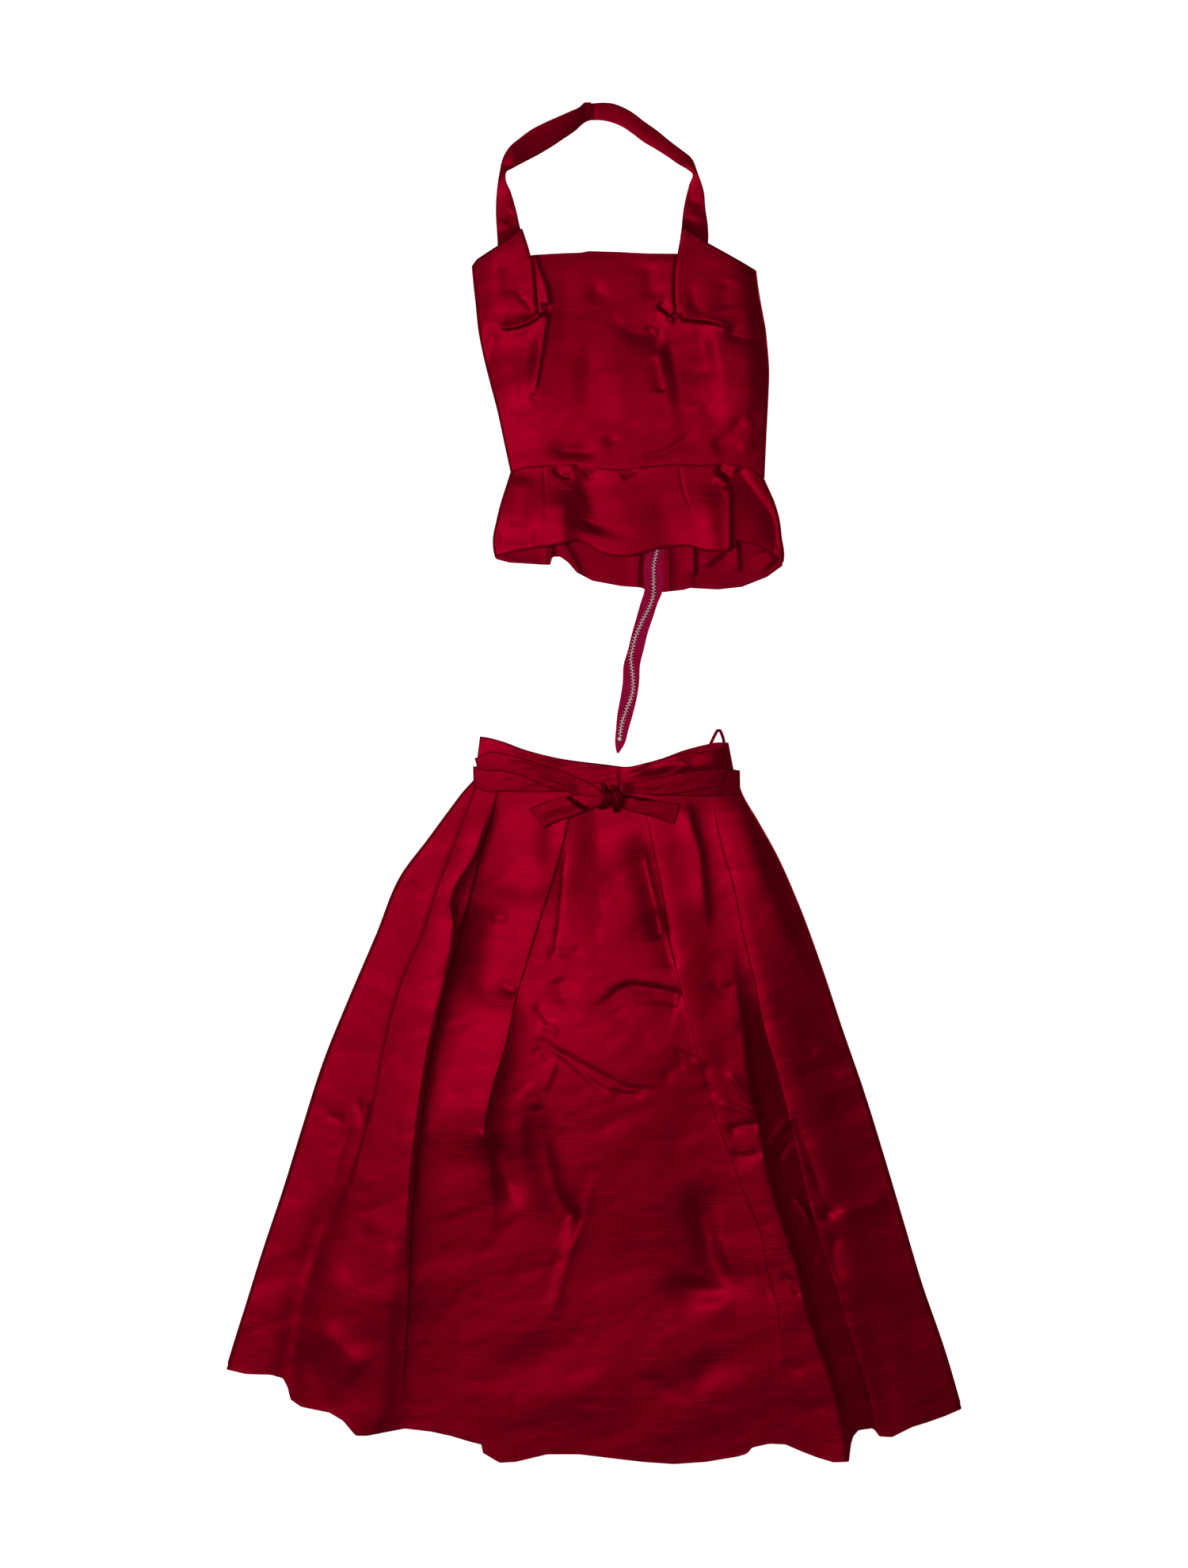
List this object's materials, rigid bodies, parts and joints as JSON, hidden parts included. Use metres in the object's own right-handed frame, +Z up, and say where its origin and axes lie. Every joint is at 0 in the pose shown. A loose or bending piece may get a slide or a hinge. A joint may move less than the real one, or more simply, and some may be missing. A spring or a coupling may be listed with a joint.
{
  "type": "halter top and skirt set",
  "caption": "Two-piece satin outfit laid flat: halter peplum top with a back zip and hanging zip tail, and a long pleated skirt with a tied sash.",
  "frame": {"origin": "on the table under the middle of the laid-out outfit", "axes": "+X to the right of the front view, +Y towards the neck strap, +Z up from the table towards the front of the garments"},
  "size_m": [0.9733, 1.8, 0.0322],
  "materials": {
    "crimson_satin": "slubbed silk satin with a soft sheen",
    "facing_satin": "inner side of the same satin, duller",
    "sash_satin": "satin cut along its length",
    "loop_ribbon": "narrow satin ribbon",
    "zip_tape": "woven tape, slightly purple red",
    "zip_metal": "dull silver metal"
  },
  "bodies": {
    "skirt": {"hanger_loop_left": "loop_ribbon", "sash_back": "sash_satin", "sash_cross_left": "sash_satin", "sash_front_right": "sash_satin", "sash_knot": "sash_satin", "sash_wrap_left": "sash_satin", "sash_wrap_right": "sash_satin", "skirt_back_left": "crimson_satin", "skirt_back_right": "crimson_satin", "skirt_front_center": "crimson_satin", "skirt_front_left": "crimson_satin", "skirt_front_right": "crimson_satin", "skirt_pleat_left": "crimson_satin", "skirt_side_left": "crimson_satin", "skirt_side_right": "crimson_satin", "skirt_zip_chain": "zip_metal", "skirt_zip_tape_left": "zip_tape", "skirt_zip_tape_right": "zip_tape", "skirt_zip_top_stop_left": "zip_metal", "skirt_zip_top_stop_right": "zip_metal", "waist_bar": "zip_metal", "waist_hook": "zip_metal", "waistband_back_left": "crimson_satin", "waistband_back_right": "crimson_satin", "waistband_front": "crimson_satin"},
    "top": {"back_zip_chain": "zip_metal", "back_zip_tape_left": "zip_tape", "back_zip_tape_right": "zip_tape", "back_zip_top_stop_left": "zip_metal", "back_zip_top_stop_right": "zip_metal", "bodice_back_left": "crimson_satin", "bodice_back_right": "crimson_satin", "bodice_front_center": "crimson_satin", "bodice_front_left": "crimson_satin", "bodice_front_right": "crimson_satin", "neck_facing": "facing_satin", "peplum_back_left": "crimson_satin", "peplum_back_right": "crimson_satin", "peplum_front_center": "crimson_satin", "peplum_front_left": "crimson_satin", "peplum_front_right": "crimson_satin"},
    "neck_strap": {"strap_left": "crimson_satin", "strap_right": "crimson_satin"},
    "back_zip_slider": {"back_zip_slider": "zip_metal"},
    "back_zip_tab": {"back_zip_pull_tab": "zip_metal"},
    "zip_tail": {"tail_tape_left": "zip_tape", "tail_tape_right": "zip_tape", "tail_chain": "zip_metal", "tail_bottom_stop": "zip_metal"},
    "skirt_zip_slider": {"skirt_zip_slider": "zip_metal"},
    "skirt_zip_tab": {"skirt_zip_pull_tab": "zip_metal"},
    "hanger_loop": {"hanger_loop_right": "loop_ribbon"},
    "sash_tail_left": {"sash_tail_left": "sash_satin"},
    "sash_tail_right": {"sash_tail_right": "sash_satin"}
  },
  "joints": [
    {"name": "top_lift", "type": "slide", "parent": "skirt", "child": "top", "axis": [0, 0, 1], "range_m": [0, 0.25]},
    {"name": "strap_fold", "type": "hinge", "parent": "top", "child": "neck_strap", "pos_m": [0.01, 0.711, 0.0095], "axis": [1, 0, 0], "range_deg": [0, 175]},
    {"name": "back_zip_run", "type": "slide", "parent": "top", "child": "back_zip_slider", "axis": [0.1287, -0.9917, 0], "range_m": [0, 0.26]},
    {"name": "back_zip_tab_swing", "type": "hinge", "parent": "back_zip_slider", "child": "back_zip_tab", "pos_m": [0.03234, 0.63695, 0.00075], "axis": [0.9917, 0.1287, 0], "range_deg": [0, 120]},
    {"name": "zip_tail_swing", "type": "hinge", "parent": "top", "child": "zip_tail", "pos_m": [0.081, 0.258, 0.002], "axis": [0, 0, 1], "range_deg": [-25, 5]},
    {"name": "skirt_zip_run", "type": "slide", "parent": "skirt", "child": "skirt_zip_slider", "axis": [0, -1, 0], "range_m": [0, 0.135]},
    {"name": "skirt_zip_tab_swing", "type": "hinge", "parent": "skirt_zip_slider", "child": "skirt_zip_tab", "pos_m": [0.015, -0.0422, 0.00075], "axis": [1, 0, 0], "range_deg": [0, 120]},
    {"name": "hanger_loop_flip", "type": "hinge", "parent": "skirt", "child": "hanger_loop", "pos_m": [0.163, 0.057, 0.0044], "axis": [1, 0, 0], "range_deg": [0, 90]},
    {"name": "sash_tail_left_swing", "type": "hinge", "parent": "skirt", "child": "sash_tail_left", "pos_m": [0.026, -0.022, 0.0156], "axis": [0, 0, 1], "range_deg": [0, 70]},
    {"name": "sash_tail_right_swing", "type": "hinge", "parent": "skirt", "child": "sash_tail_right", "pos_m": [0.026, -0.022, 0.014], "axis": [0, 0, 1], "range_deg": [-70, 0]}
  ]
}
